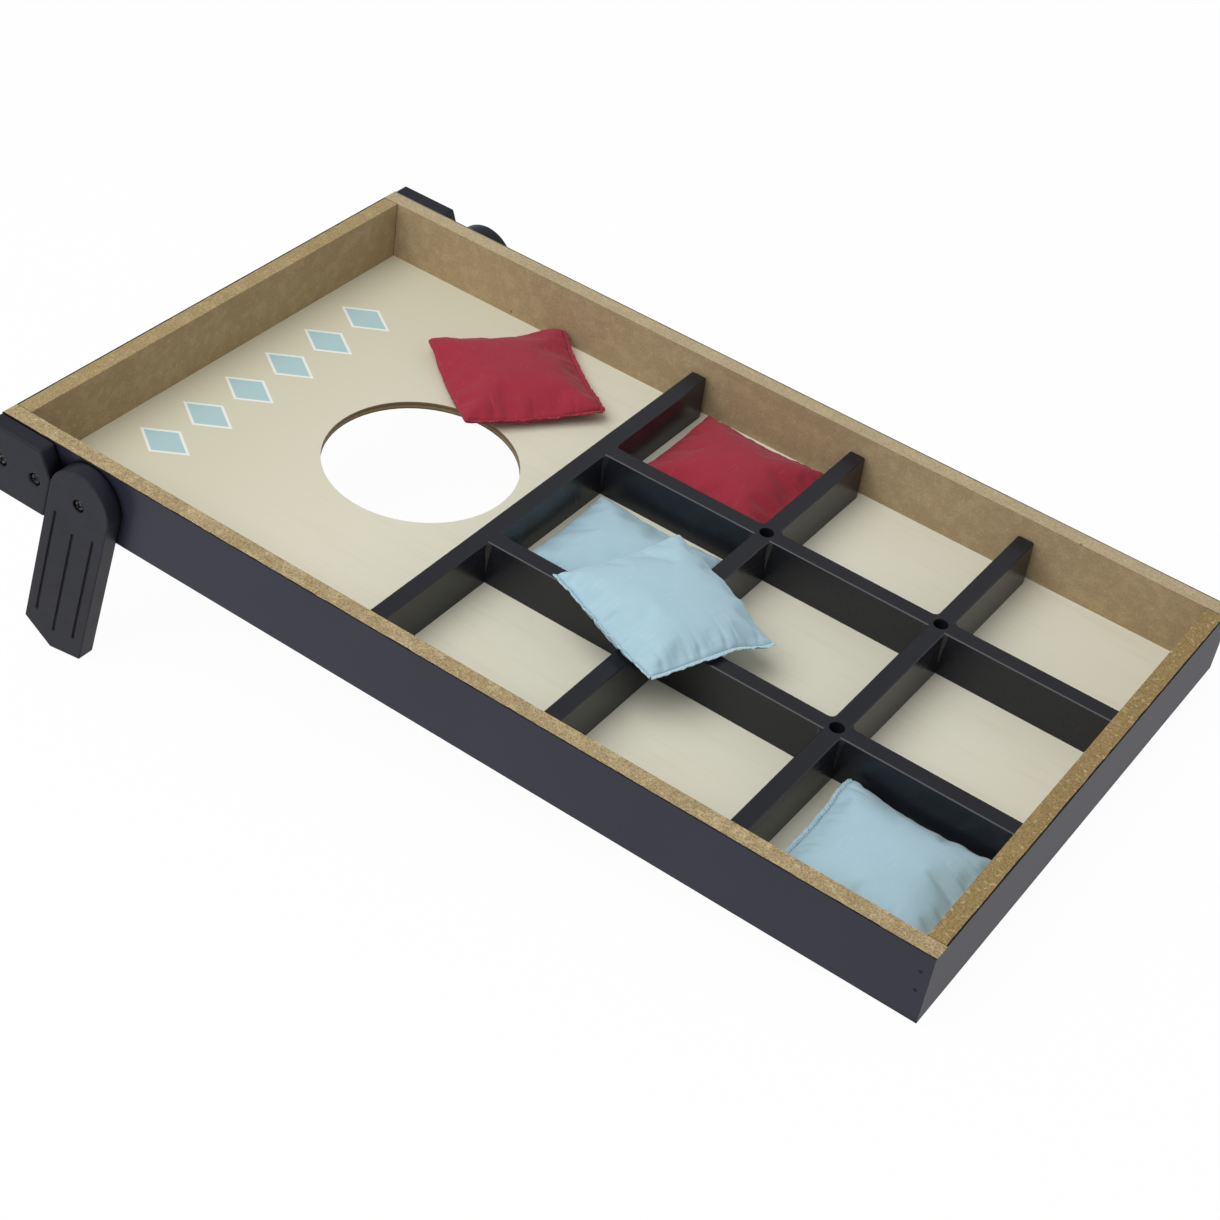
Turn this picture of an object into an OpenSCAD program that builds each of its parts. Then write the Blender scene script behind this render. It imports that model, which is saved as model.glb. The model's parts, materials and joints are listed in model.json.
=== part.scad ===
// Toss and tic-tac-toe game: a shallow tray on two folding legs, with a toss hole at its head
// end, a moulded grid of nine pockets at its foot end, and five bean bags.
// The board is drawn lying flat, with u from head to foot, v from the near to the far side and
// w up from its underside. It is then tilted to stand on its legs, and its origin is on the
// ground under the middle of the whole.

/* [Board] */
// Length of the board from head to foot
board_len = 660; // [645:1:760]
// Width of the board over its side rails
board_w = 379; // [372:1:440]
// Height of the rails
rail_h = 49.5; // [46:0.5:60]
// Thickness of the rails
rail_t = 12; // [11:0.5:15]
// Tilt of the board when it stands on its legs, in degrees
tilt = 9.65; // [7:0.05:12]

/* [Base board] */
// Thickness of the base board
base_t = 5.5; // [4:0.5:7]
// Step from the underside of the rails up to the base board
base_recess = 1; // [0.5:0.1:2]
// Depth of the rabbet that takes the edge of the base board
rabbet_d = 5; // [4:0.5:6]
// Gap between the edge of the base board and the rabbet
base_gap = 0.2; // [0.1:0.05:0.3]
// Diameter of the toss hole
hole_d = 129; // [110:1:135]
// Strip of base board between the toss hole and the first bar of the grid
hole_to_grid = 25.1; // [15:0.1:45]

/* [Grid] */
// Height of the grid above the base board
grid_h = 30; // [27:0.5:34]
// Width of a bar across its top
bar_top_w = 11.8; // [11:0.1:14]
// How far each wall of a bar leans out from top to bottom
bar_draft = 1.5; // [0.5:0.1:2]
// Bevel along the top edges of the bars
bar_edge = 0.6; // [0.3:0.1:1]
// Wall of the moulding
grid_wall = 2.2; // [1.6:0.1:2.6]
// Pitch of the bars along the board
pocket_len = 125.3; // [122:0.1:130]
// Pitch of the bars across the board
pocket_w = 123; // [121:0.5:130]
// Clear length of the last pockets, up to the foot rail
foot_pocket_len = 115.5; // [112:0.5:122]
// Gap between the ends of the bars and the rails
bar_end_gap = 3; // [1:0.5:4]
// Radius of the upright corners at the ends of the bars
bar_end_r = 4; // [2:0.5:5]
// Radius of the fillets in the corners of the pockets
pocket_fillet_r = 4; // [2:0.5:6]
// Diameter of the counterbores at the crossings
counterbore_d = 9.5; // [8.5:0.1:10]
// Height of the seat of a grid screw above the base board
screw_seat_h = 9; // [6:0.5:14]

/* [Legs] */
// Width of a leg
leg_w = 48; // [42:0.5:48]
// Thickness of a leg
leg_t = 12; // [10:0.5:15]
// Lean of a leg from square to the board, in degrees
leg_lean = 12; // [8:0.5:16]
// Distance from the head end to the pivots
pivot_from_head = 75; // [70:0.5:90]
// Height of the pivots above the underside of the rails
pivot_up = 24.75; // [24:0.25:25]
// Running gap between a leg and its rail
leg_gap = 0.3; // [0.2:0.05:0.5]
// Width of the grooves on a leg
groove_w = 1.8; // [1:0.1:3]
// Depth of the grooves on a leg
groove_d = 1.4; // [0.8:0.1:2]
// Spacing of the three grooves
groove_pitch = 15.8; // [12:0.1:16.5]
// Distance from the pivot to the top of the outer grooves
groove_from_pivot = 18; // [14:0.5:24]
// Length of the grooves
groove_len = 91; // [60:1:92]
// Shift of the middle groove towards the foot of the leg
groove_shift = 7; // [5:0.5:8]

/* [Stop blocks] */
// Thickness of a stop block
stop_t = 12; // [10:0.5:15]
// Height of the block's nose above the underside of the rails
nose_up = 31; // [28:0.5:34]
// Set-back of the block's top corner from its nose
nose_set_back = 7.5; // [4:0.5:12]
// Gap between the leg and the stop
stop_gap = 0.2; // [0.1:0.05:0.4]
// Distance from the head end to the first stop screw
stop_screw_from_head = 10; // [9:0.5:14]
// Distance from the nose to the second stop screw
stop_screw_from_nose = 13.5; // [11:0.5:16]

/* [Fasteners] */
// Diameter of the screw heads
head_d = 7.8; // [7:0.1:8.2]
// Height of the screw heads
head_h = 2.6; // [2:0.1:3]
// Depth of the countersunk seats under the face of the legs and blocks
head_sink = 3.4; // [3:0.1:4.5]
// Diameter of the plain shank of the screws
shank_d = 4.8; // [4:0.1:5]
// Diameter of the threaded end of the screws
thread_d = 3.6; // [3:0.1:4]
// Wood left beyond the tip of a screw
tip_cover = 1.5; // [1:0.1:2]
// Radial clearance of a shank that a leg turns on
running_gap = 0.06; // [0.03:0.01:0.1]
// Radial clearance of the other fasteners in their holes
fixed_gap = 0.05; // [0.02:0.01:0.1]
// Diameter of the brads
brad_d = 1.6; // [1.2:0.1:2]
// Length of the brads at the corners
corner_brad_len = 30; // [25:1:38]
// Height of the lower corner brad above the underside of the rails
corner_brad_up = 22; // [18:0.5:26]
// Pitch of the two brads in a corner
corner_brad_pitch = 14; // [8:0.5:18]
// Length of the brads that hold the base board
base_brad_len = 14; // [12:1:20]
// Brads in the base board along each side rail
side_brads = 4; // [3:1:6]
// Brads in the base board along each end rail
end_brads = 2; // [2:1:4]

/* [Bean bags] */
// Room beside a bean bag in the narrowest pocket
bag_room = 10.2; // [9:0.1:24]
// Thickness of a filled bag
bag_h = 24; // [18:0.5:26]
// Height of the side seam of a bag that lies flat
bag_seam_up = 9; // [7:0.5:11]
// How far the sides draw in between the corners
bag_draw_in = 3; // [1:0.5:6]
// Thickness of the sewn edge
bag_edge_t = 1.6; // [1.2:0.1:2.4]
// Thickness of the cover
cover_t = 0.9; // [0.7:0.1:1.2]
// Width of the seam allowance inside the cover
seam_allowance = 2.6; // [2:0.1:4]
// Gap between the filling and the cover
filling_gap = 0.3; // [0.2:0.05:0.4]
// Gap between a bag and what it lies on
rest_gap = 0.3; // [0.2:0.05:0.5]
// Gap between the grid and the nearest corner of the bag that landed by the hole
landed_to_grid = 29; // [20:0.5:40]
// Turn of the bag that landed by the hole, in degrees
landed_turn = 53; // [40:1:60]
// Turn of the bag that lies on the grid, in degrees
upper_turn = -13; // [-20:1:-6]

/* [Hidden] */

// Facets of round shapes
$fn = 48;
// Overshoot of cuts
over = 1;

// Colours
tan_board = "#a98c62";
pale_board = "#cfc9b2";
black_plastic = "#2c2c31";
slate_paint = "#3d3d47";
dark_steel = "#2a2a2d";
bright_steel = "#8b8b8e";
red_cloth = "#98293a";
blue_cloth = "#a4c6d2";
pellet_white = "#e4e0d4";

// Inside of the tray
floor_up = base_recess + base_t;
far_wall = board_w - rail_t;
foot_wall = board_len - rail_t;

// Bars of the grid
bar_bottom_w = bar_top_w + 2 * bar_draft;
last_bar_u = foot_wall - foot_pocket_len - bar_top_w / 2;
cross_bar_u = [for (i = [2, 1, 0]) last_bar_u - i * pocket_len];
long_bar_v = [for (side = [-1, 1]) board_w / 2 + side * pocket_w / 2];
cross_bar_len = board_w - 2 * (rail_t + bar_end_gap);
long_bar_len = foot_wall - bar_end_gap - cross_bar_u[0];
screw_bars = [1, 2];

// The toss hole lies before the first bar
grid_face_u = cross_bar_u[0] - bar_bottom_w / 2;
hole_u = grid_face_u - hole_to_grid - hole_d / 2;

// Middles of the pockets, counted from the head and from the near side
pocket_u = [
    (cross_bar_u[0] + cross_bar_u[1]) / 2,
    (cross_bar_u[1] + cross_bar_u[2]) / 2,
    (cross_bar_u[2] + bar_bottom_w / 2 + foot_wall) / 2
];
pocket_v = [
    (rail_t + long_bar_v[0] - bar_bottom_w / 2) / 2,
    board_w / 2,
    (far_wall + long_bar_v[1] + bar_bottom_w / 2) / 2
];

// Clear width of the narrowest pocket at its floor
side_pocket_w = (board_w - pocket_w - bar_bottom_w) / 2 - rail_t;
pocket_clear = min(pocket_len - bar_bottom_w, foot_pocket_len - bar_draft, pocket_w - bar_bottom_w,
                   side_pocket_w);

// The foot of a leg is cut level with the ground
foot_cut = leg_lean + tilt;
pivot_above_ground = (board_len - pivot_from_head) * sin(tilt) + pivot_up * cos(tilt);
leg_reach = pivot_above_ground / cos(foot_cut);
foot_rise = leg_w / 2 * tan(foot_cut);

// Outline of a stop block follows the edge of the leg that leans on it
function leg_edge_u(w) = pivot_from_head
    + ((w - pivot_up) * sin(leg_lean) - leg_w / 2 - stop_gap) / cos(leg_lean);
nose_u = leg_edge_u(nose_up);
stop_screw_u = [stop_screw_from_head, nose_u - stop_screw_from_nose];
stop_screw_up = rail_h / 2;

// Seats and lengths of the screws
head_gap = 0.2;
head_room = 0.35;
recess_w = 1.1;
recess_d = 1.3;
head_side_h = 1.2;
head_crown_h = 0.4;
head_shoulder = 0.8;
head_flat_d = 3.6;
grip = leg_t - head_sink;
stop_grip = stop_t - head_sink;
rail_bite = rail_t - tip_cover;
base_bite = base_t - tip_cover;

// Brads
brad_head_lip = 0.4;
brad_head_d = brad_d + 2 * brad_head_lip;
brad_head_h = 0.8;

// Halves of the bags and the steps across one
bag_steps = 8;
bag_half = (pocket_clear - bag_room) / 2;
landed_reach = bag_half * (abs(sin(landed_turn)) + abs(cos(landed_turn)));
landed_u = grid_face_u - landed_to_grid - landed_reach;
landed_v = far_wall - landed_reach - rest_gap;
bag_floor = floor_up + rest_gap;
upper_floor = floor_up + max(grid_h, bag_h + rest_gap) + rest_gap;

// Moves from the middle of a pocket, or of a crossing, to where each bag lies
pocket_red_move = [0, -2];
pocket_red_turn = -1;
under_blue_move = [-1, -3];
under_blue_turn = 1;
upper_blue_move = [-6, 15];
corner_blue_move = [1.5, -1];
corner_blue_turn = -4;

// Stands the flat board on its legs
module standing() {
    translate([-(board_len * cos(tilt) + rail_h * sin(tilt)) / 2, -board_w / 2, board_len * sin(tilt)])
        rotate([0, tilt, 0])
            children();
}

// Mirrors a near piece to the far side
module far_side() {
    translate([0, board_w, 0])
        mirror([0, 1, 0])
            children();
}

// Turns a piece drawn upright so that its top faces out of the near side
module facing_near() {
    rotate([90, 0, 0])
        children();
}

// Evenly spread places, half a pitch in from both ends
function spread(count, from, to) = [for (i = [0 : count - 1]) from + (to - from) * (i + 0.5) / count];

// Pan-head screw with its seat at zero, its head up and its tip down
module screw(plain_len, bite) {
    head_r = head_d / 2;
    difference() {
        union() {
            rotate_extrude()
                polygon([[0, 0], [head_r, 0], [head_r, head_side_h],
                         [head_r - head_shoulder, head_h - head_crown_h], [head_flat_d / 2, head_h], [0, head_h]]);
            translate([0, 0, -plain_len])
                cylinder(d = shank_d, h = plain_len + head_h / 2);
            translate([0, 0, -plain_len - bite])
                cylinder(d = thread_d, h = bite + plain_len / 2);
        }
        for (turn = [0, 90])
            rotate([0, 0, turn])
                translate([-head_r / 2, -recess_w / 2, head_h - recess_d])
                    cube([head_r, recess_w, recess_d + over]);
    }
}

// Brad with the top of its head at zero and its tip down
module brad(len, gap = 0) {
    translate([0, 0, -len])
        cylinder(d = brad_d + 2 * gap, h = len);
    translate([0, 0, -brad_head_h - gap])
        cylinder(d = brad_head_d + 2 * gap, h = brad_head_h + gap);
}

// Places of the screws and brads
module at_pivot() {
    translate([pivot_from_head, 0, pivot_up])
        facing_near()
            children();
}

module at_stop_screws() {
    for (u = stop_screw_u)
        translate([u, 0, stop_screw_up])
            facing_near()
                children();
}

module at_corner_brads(u) {
    for (i = [0, 1])
        translate([u, 0, corner_brad_up + i * corner_brad_pitch])
            facing_near()
                children();
}

module at_side_brads() {
    for (u = spread(side_brads, rail_t, foot_wall))
        translate([u, rail_t - rabbet_d / 2, base_recess])
            mirror([0, 0, 1])
                children();
}

module at_end_brads() {
    for (v = spread(end_brads, rail_t, far_wall))
        translate([rail_t - rabbet_d / 2, v, base_recess])
            mirror([0, 0, 1])
                children();
}

module at_grid_screws() {
    for (i = screw_bars)
        for (v = long_bar_v)
            translate([cross_bar_u[i], v, floor_up + screw_seat_h])
                children();
}

// Head end pieces copied to the foot end
module foot_end() {
    translate([board_len, 0, 0])
        mirror([1, 0, 0])
            children();
}

// Side rail on the near side, with its rabbet and the holes of what is driven into it
module side_rail() {
    inset = rail_t - rabbet_d;
    difference() {
        cube([board_len, rail_t, rail_h]);
        translate([inset, inset, -over])
            cube([board_len - 2 * inset, rabbet_d + over, floor_up + over]);
        at_pivot()
            translate([0, 0, -rail_bite - fixed_gap])
                cylinder(d = thread_d + 2 * fixed_gap, h = rail_bite + over);
        at_stop_screws()
            translate([0, 0, -rail_bite - fixed_gap])
                cylinder(d = thread_d + 2 * fixed_gap, h = rail_bite + over);
        for (u = [rail_t / 2, board_len - rail_t / 2])
            at_corner_brads(u)
                brad(corner_brad_len, fixed_gap);
        at_side_brads()
            brad(base_brad_len, fixed_gap);
    }
}

// End rail at the head, between the side rails
module end_rail() {
    difference() {
        translate([0, rail_t, 0])
            cube([rail_t, board_w - 2 * rail_t, rail_h]);
        translate([rail_t - rabbet_d, rail_t - over, -over])
            cube([rabbet_d + over, board_w - 2 * rail_t + 2 * over, floor_up + over]);
        at_corner_brads(rail_t / 2)
            brad(corner_brad_len + fixed_gap, fixed_gap);
        far_side()
            at_corner_brads(rail_t / 2)
                brad(corner_brad_len + fixed_gap, fixed_gap);
        at_end_brads()
            brad(base_brad_len, fixed_gap);
    }
}

module near_side_rail() {
    color(tan_board)
        standing()
            side_rail();
}

module far_side_rail() {
    color(tan_board)
        standing()
            far_side()
                side_rail();
}

module head_rail() {
    color(tan_board)
        standing()
            end_rail();
}

module foot_rail() {
    color(tan_board)
        standing()
            foot_end()
                end_rail();
}

// Base board in the rabbets, with the toss hole
module base_board() {
    inset = rail_t - rabbet_d + base_gap;
    color(pale_board)
        standing()
            difference() {
                translate([inset, inset, base_recess])
                    cube([board_len - 2 * inset, board_w - 2 * inset, base_t]);
                translate([hole_u, board_w / 2, base_recess - over])
                    cylinder(d = hole_d, h = base_t + 2 * over, $fn = 96);
                at_grid_screws()
                    translate([0, 0, -screw_seat_h - base_bite - fixed_gap])
                        cylinder(d = thread_d + 2 * fixed_gap, h = base_bite + over);
                at_side_brads()
                    brad(base_brad_len, fixed_gap);
                far_side()
                    at_side_brads()
                        brad(base_brad_len, fixed_gap);
                at_end_brads()
                    brad(base_brad_len, fixed_gap);
                foot_end()
                    at_end_brads()
                        brad(base_brad_len, fixed_gap);
            }
}

// Straight bar along x with leaning walls and bevelled top edges
module bar(len, top_w, bottom_w, h, edge) {
    rotate([90, 0, 90])
        linear_extrude(len)
            polygon([[-bottom_w / 2, 0], [bottom_w / 2, 0], [top_w / 2, h - edge], [top_w / 2 - edge, h],
                     [edge - top_w / 2, h], [-top_w / 2, h - edge]]);
}

// Plan of a bar with rounded corners
module bar_plan(len) {
    half = bar_bottom_w / 2;
    translate([bar_end_r, -half])
        square([len - 2 * bar_end_r, bar_bottom_w]);
    translate([0, bar_end_r - half])
        square([len, bar_bottom_w - 2 * bar_end_r]);
    for (x = [bar_end_r, len - bar_end_r])
        for (y = [bar_end_r - half, half - bar_end_r])
            translate([x, y])
                circle(bar_end_r);
}

module outer_bar(len) {
    intersection() {
        bar(len, bar_top_w, bar_bottom_w, grid_h, bar_edge);
        linear_extrude(grid_h + over)
            bar_plan(len);
    }
}

// Hollow under a bar, open at the bottom
module bar_hollow(len) {
    translate([grid_wall, 0, -over])
        bar(len - 2 * grid_wall, bar_top_w - 2 * grid_wall, bar_bottom_w - 2 * grid_wall,
            grid_h - grid_wall + over, 0);
}

module at_cross_bars() {
    for (u = cross_bar_u)
        translate([u, rail_t + bar_end_gap, 0])
            rotate([0, 0, 90])
                children();
}

module at_long_bars() {
    for (v = long_bar_v)
        translate([cross_bar_u[0], v, 0])
            children();
}

// Upright fillet in the corner between two bars that cross at the origin
module pocket_fillet() {
    corner = bar_top_w / 2;
    linear_extrude(grid_h - bar_edge)
        difference() {
            translate([corner - over, corner - over])
                square(pocket_fillet_r + over);
            translate([corner + pocket_fillet_r, corner + pocket_fillet_r])
                circle(pocket_fillet_r);
        }
}

// Grid of bars, hollow underneath, with bosses for the screws at four of its crossings
module grid_divider() {
    boss_d = counterbore_d + grid_wall;
    color(black_plastic)
        standing()
            translate([0, 0, floor_up])
                difference() {
                    union() {
                        difference() {
                            union() {
                                at_cross_bars()
                                    outer_bar(cross_bar_len);
                                at_long_bars()
                                    outer_bar(long_bar_len);
                                for (i = [0 : 2])
                                    for (v = long_bar_v)
                                        for (turn = (i == 0) ? [0, 270] : [0, 90, 180, 270])
                                            translate([cross_bar_u[i], v, 0])
                                                rotate([0, 0, turn])
                                                    pocket_fillet();
                            }
                            at_cross_bars()
                                bar_hollow(cross_bar_len);
                            at_long_bars()
                                bar_hollow(long_bar_len);
                        }
                        translate([0, 0, -floor_up - screw_seat_h])
                            at_grid_screws()
                                cylinder(d = boss_d, h = grid_h - bar_edge);
                    }
                    translate([0, 0, -floor_up])
                        at_grid_screws() {
                            cylinder(d = counterbore_d, h = grid_h);
                            translate([0, 0, -screw_seat_h - over])
                                cylinder(d = shank_d + 2 * fixed_gap, h = grid_h);
                        }
                }
}

module grid_screws() {
    color(dark_steel)
        standing()
            at_grid_screws()
                screw(screw_seat_h, base_bite);
}

// Stop block on the near side, with a nose whose lower bevel the leg leans on
module stop_block() {
    difference() {
        facing_near()
            linear_extrude(stop_t)
                polygon([[0, 0], [leg_edge_u(0), 0], [nose_u, nose_up],
                         [nose_u - nose_set_back, rail_h], [0, rail_h]]);
        at_stop_screws() {
            translate([0, 0, -over])
                cylinder(d = shank_d + 2 * fixed_gap, h = stop_t + over);
            translate([0, 0, stop_grip])
                cylinder(d = head_d + 2 * head_room, h = head_sink + over);
        }
    }
}

module stop_screws() {
    at_stop_screws()
        translate([0, 0, stop_grip])
            screw(stop_grip, rail_bite);
}

module near_stop_block() {
    color(slate_paint)
        standing()
            stop_block();
}

module far_stop_block() {
    color(slate_paint)
        standing()
            far_side()
                stop_block();
}

module near_stop_screws() {
    color(dark_steel)
        standing()
            stop_screws();
}

module far_stop_screws() {
    color(dark_steel)
        standing()
            far_side()
                stop_screws();
}

// Groove with round ends, running down from its top
module groove() {
    translate([-groove_w / 2, -groove_len + groove_w / 2])
        square([groove_w, groove_len - groove_w]);
    for (y = [-groove_w / 2, groove_w / 2 - groove_len])
        translate([0, y])
            circle(d = groove_w);
}

// Outline of a leg, hanging from its pivot at the origin, with a foot cut level with the ground
module leg_outline() {
    half = leg_w / 2;
    circle(half, $fn = 96);
    polygon([[-half, 0], [-half, foot_rise - leg_reach], [0, -leg_reach], [half, foot_rise - leg_reach],
             [half, 0]]);
}

// Leg on the near side, leaning on its stop
module leg() {
    translate([pivot_from_head, -leg_gap, pivot_up])
        rotate([0, leg_lean, 0])
            facing_near()
                difference() {
                    linear_extrude(leg_t)
                        leg_outline();
                    for (i = [-1, 0, 1])
                        translate([i * groove_pitch, -groove_from_pivot - (1 - abs(i)) * groove_shift,
                                   leg_t - groove_d])
                            linear_extrude(groove_d + over)
                                groove();
                    translate([0, 0, -over])
                        cylinder(d = shank_d + 2 * running_gap, h = leg_t + over);
                    translate([0, 0, grip])
                        cylinder(d = head_d + 2 * head_room, h = head_sink + over);
                }
}

module pivot_screw() {
    at_pivot()
        translate([0, 0, leg_gap + grip + head_gap])
            screw(leg_gap + grip + head_gap, rail_bite);
}

module near_leg() {
    color(slate_paint)
        standing()
            leg();
}

module far_leg() {
    color(slate_paint)
        standing()
            far_side()
                leg();
}

module near_pivot_screw() {
    color(dark_steel)
        standing()
            pivot_screw();
}

module far_pivot_screw() {
    color(dark_steel)
        standing()
            far_side()
                pivot_screw();
}

// Four brads of one end, two through each side rail
module corner_brads() {
    at_corner_brads(rail_t / 2)
        brad(corner_brad_len);
    far_side()
        at_corner_brads(rail_t / 2)
            brad(corner_brad_len);
}

module head_corner_brads() {
    color(bright_steel)
        standing()
            corner_brads();
}

module foot_corner_brads() {
    color(bright_steel)
        standing()
            foot_end()
                corner_brads();
}

module base_brads() {
    color(bright_steel)
        standing() {
            at_side_brads()
                brad(base_brad_len);
            far_side()
                at_side_brads()
                    brad(base_brad_len);
            at_end_brads()
                brad(base_brad_len);
            foot_end()
                at_end_brads()
                    brad(base_brad_len);
        }
}

// Angle of a step across a bag, from -90 at one side to 90 at the other
function bag_angle(i) = 180 * i / bag_steps - 90;

// How full a bag is at two angles: 1 in its middle and 0 along its edge
function bag_fullness(a, b) = cos(a) * cos(b);

// Plan of a bag at two angles, drawn in along its sides
function bag_plan(half, a, b) = [
    sin(a) * (half - bag_draw_in * cos(b) * cos(b)),
    sin(b) * (half - bag_draw_in * cos(a) * cos(a))
];

// Filled square bag that lies on z = low, with its crown at high and its edge round the seam.
// The belly is fuller than its room, so that it lies flat where it rests.
module filled_square(half, low, high, edge_t) {
    belly_spread = 1.7;
    steps = [0 : bag_steps - 1];
    row = bag_steps + 1;
    crown_room = high - bag_seam_up - edge_t / 2;
    belly_room = bag_seam_up - edge_t / 2 - low;
    grid = [for (j = [0 : bag_steps]) for (i = [0 : bag_steps]) [bag_angle(i), bag_angle(j)]];
    top = [for (g = grid) concat(bag_plan(half, g[0], g[1]),
        bag_seam_up + edge_t / 2 + crown_room * bag_fullness(g[0], g[1]))];
    bottom = [for (g = grid) concat(bag_plan(half, g[0], g[1]),
        bag_seam_up - edge_t / 2 - belly_room * min(1, belly_spread * bag_fullness(g[0], g[1])))];
    under = len(grid);
    last = bag_steps * row;
    top_faces = [for (j = steps) for (i = steps) let (k = j * row + i)
        each [[k, k + row, k + row + 1], [k, k + row + 1, k + 1]]];
    bottom_faces = [for (f = top_faces) [f[0] + under, f[2] + under, f[1] + under]];
    rim = [for (i = steps) each [
        [i, i + 1],
        [last + i + 1, last + i],
        [(i + 1) * row, i * row],
        [i * row + bag_steps, (i + 1) * row + bag_steps]
    ]];
    rim_faces = [for (r = rim) each [[r[0], r[1], r[1] + under], [r[0], r[1] + under, r[0] + under]]];
    polyhedron(concat(top, bottom), concat(top_faces, bottom_faces, rim_faces));
}

// Sewn cover, hollow inside
module bag_cover() {
    difference() {
        filled_square(bag_half, 0, bag_h, bag_edge_t);
        filled_square(bag_half - seam_allowance, cover_t, bag_h - cover_t, bag_edge_t / 2);
    }
}

// Loose pellets taken as one body that fills the cover
module bag_filling() {
    inset = cover_t + filling_gap;
    filled_square(bag_half - seam_allowance - filling_gap, inset, bag_h - inset, bag_edge_t / 4);
}

// Places of the five bags
module lying(u, v, low, turn) {
    standing()
        translate([u, v, low])
            rotate([0, 0, turn])
                children();
}

module landed_red() {
    lying(landed_u, landed_v, bag_floor, landed_turn)
        children();
}

module pocket_red() {
    lying(pocket_u[0] + pocket_red_move[0], pocket_v[2] + pocket_red_move[1], bag_floor, pocket_red_turn)
        children();
}

module under_blue() {
    lying(pocket_u[0] + under_blue_move[0], pocket_v[1] + under_blue_move[1], bag_floor, under_blue_turn)
        children();
}

module upper_blue() {
    lying(cross_bar_u[1] + upper_blue_move[0], long_bar_v[0] + upper_blue_move[1], upper_floor, upper_turn)
        children();
}

module corner_blue() {
    lying(pocket_u[2] + corner_blue_move[0], pocket_v[0] + corner_blue_move[1], bag_floor, corner_blue_turn)
        children();
}

module landed_red_bag_cover() {
    color(red_cloth)
        landed_red()
            bag_cover();
}

module landed_red_bag_filling() {
    color(pellet_white)
        landed_red()
            bag_filling();
}

module pocket_red_bag_cover() {
    color(red_cloth)
        pocket_red()
            bag_cover();
}

module pocket_red_bag_filling() {
    color(pellet_white)
        pocket_red()
            bag_filling();
}

module under_blue_bag_cover() {
    color(blue_cloth)
        under_blue()
            bag_cover();
}

module under_blue_bag_filling() {
    color(pellet_white)
        under_blue()
            bag_filling();
}

module upper_blue_bag_cover() {
    color(blue_cloth)
        upper_blue()
            bag_cover();
}

module upper_blue_bag_filling() {
    color(pellet_white)
        upper_blue()
            bag_filling();
}

module corner_blue_bag_cover() {
    color(blue_cloth)
        corner_blue()
            bag_cover();
}

module corner_blue_bag_filling() {
    color(pellet_white)
        corner_blue()
            bag_filling();
}

near_side_rail();
far_side_rail();
head_rail();
foot_rail();
base_board();
grid_divider();
grid_screws();
near_stop_block();
far_stop_block();
near_stop_screws();
far_stop_screws();
near_leg();
far_leg();
near_pivot_screw();
far_pivot_screw();
head_corner_brads();
foot_corner_brads();
base_brads();
landed_red_bag_cover();
landed_red_bag_filling();
pocket_red_bag_cover();
pocket_red_bag_filling();
under_blue_bag_cover();
under_blue_bag_filling();
upper_blue_bag_cover();
upper_blue_bag_filling();
corner_blue_bag_cover();
corner_blue_bag_filling();
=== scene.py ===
"""Looks of a toss and tic-tac-toe game: a tray on two folding legs, a moulded grid and five bean bags.

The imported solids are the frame. Their board, paint, plastic and steel get node materials here. Each bean
bag is simulated in cloth where its solid lies, and is then given its sewn edge and its stitches.
"""

import json
import math
import random

import bmesh
import bpy
import numpy as np
from mathutils import Matrix, Vector


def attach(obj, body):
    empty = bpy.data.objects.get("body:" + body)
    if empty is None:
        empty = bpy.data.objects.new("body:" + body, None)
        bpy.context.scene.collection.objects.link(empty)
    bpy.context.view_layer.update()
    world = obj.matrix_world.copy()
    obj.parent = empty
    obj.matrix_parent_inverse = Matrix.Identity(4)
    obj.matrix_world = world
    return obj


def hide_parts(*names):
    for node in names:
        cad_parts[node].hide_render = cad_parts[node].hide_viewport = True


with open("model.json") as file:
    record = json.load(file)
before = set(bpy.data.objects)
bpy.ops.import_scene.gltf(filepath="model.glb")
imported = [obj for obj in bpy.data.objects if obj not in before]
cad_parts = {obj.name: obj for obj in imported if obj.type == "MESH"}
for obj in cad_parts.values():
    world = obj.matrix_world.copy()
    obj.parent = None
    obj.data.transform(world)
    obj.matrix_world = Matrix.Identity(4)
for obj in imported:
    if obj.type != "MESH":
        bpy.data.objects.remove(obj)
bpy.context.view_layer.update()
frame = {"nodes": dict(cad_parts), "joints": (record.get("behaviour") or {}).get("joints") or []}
scene = bpy.context.scene
scene.view_settings.view_transform = "Standard"
MM = 0.001
CM3 = (10 * MM) ** 3

# Frame of the tilted board: u from head to foot, v from the near to the far side, w up from its underside
lift = next(j for j in frame["joints"] if j["name"] == "landed_red_lift")
NORMAL = Vector(lift["axis"]).normalized()
ALONG = Vector((NORMAL.z, 0.0, -NORMAL.x))
ACROSS = Vector((0.0, 1.0, 0.0))
TILT = math.asin(NORMAL.x)


def reach(node, direction):
    """Lowest and highest place of a CAD node along a direction."""
    places = [v.co.dot(direction) for v in frame["nodes"][node].data.vertices]
    return min(places), max(places)


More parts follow.
